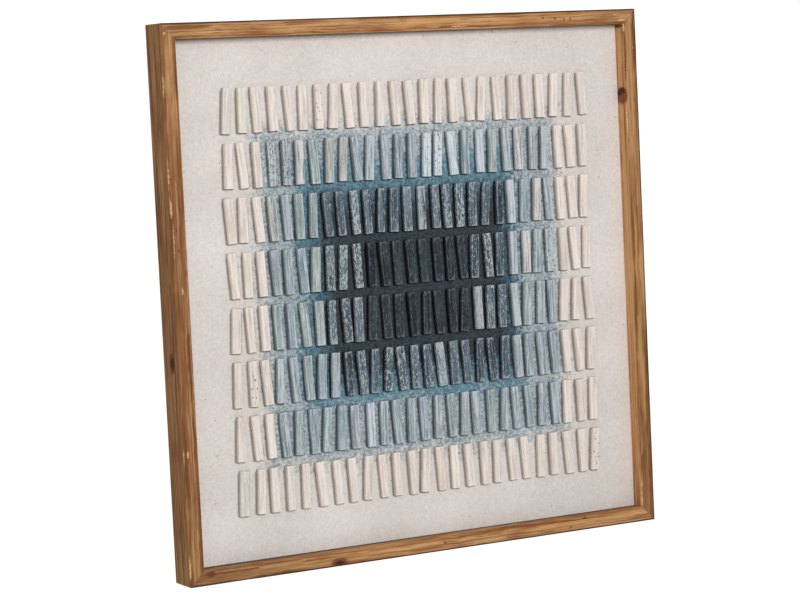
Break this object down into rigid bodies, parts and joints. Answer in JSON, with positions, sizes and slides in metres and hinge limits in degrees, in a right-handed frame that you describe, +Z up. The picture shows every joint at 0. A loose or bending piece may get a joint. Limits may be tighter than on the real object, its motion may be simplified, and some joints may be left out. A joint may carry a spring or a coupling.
{
  "type": "wood relief wall panel",
  "caption": "Square framed wall panel: rows of small split wood sticks stand on a sandy plaster board, painted in nested soft squares from cream to charcoal.",
  "frame": {"origin": "middle of the top rail's back face, where the panel meets the wall", "axes": "+Z up, +X to the right as seen from the front, +Y into the wall; the relief faces -Y"},
  "size_m": [0.6, 0.038, 0.6],
  "materials": {
    "stained_pine": "honey brown stain, rubbed thin on the edges, satin",
    "sand_plaster": "cream plaster mixed with sand, sprayed in soft squares of pale blue, teal and charcoal, on a fibreboard back",
    "cream_stick": "split pine, whitewashed, matt",
    "pale_blue_stick": "split pine, pale grey-blue wash, matt",
    "slate_stick": "split pine, slate wash with silvery flecks, matt",
    "charcoal_stick": "split pine, charcoal wash, matt"
  },
  "bodies": {
    "root": {"rail_top": "stained_pine", "rail_bottom": "stained_pine", "rail_left": "stained_pine", "rail_right": "stained_pine", "relief_board": "sand_plaster"}
  },
  "joints": []
}
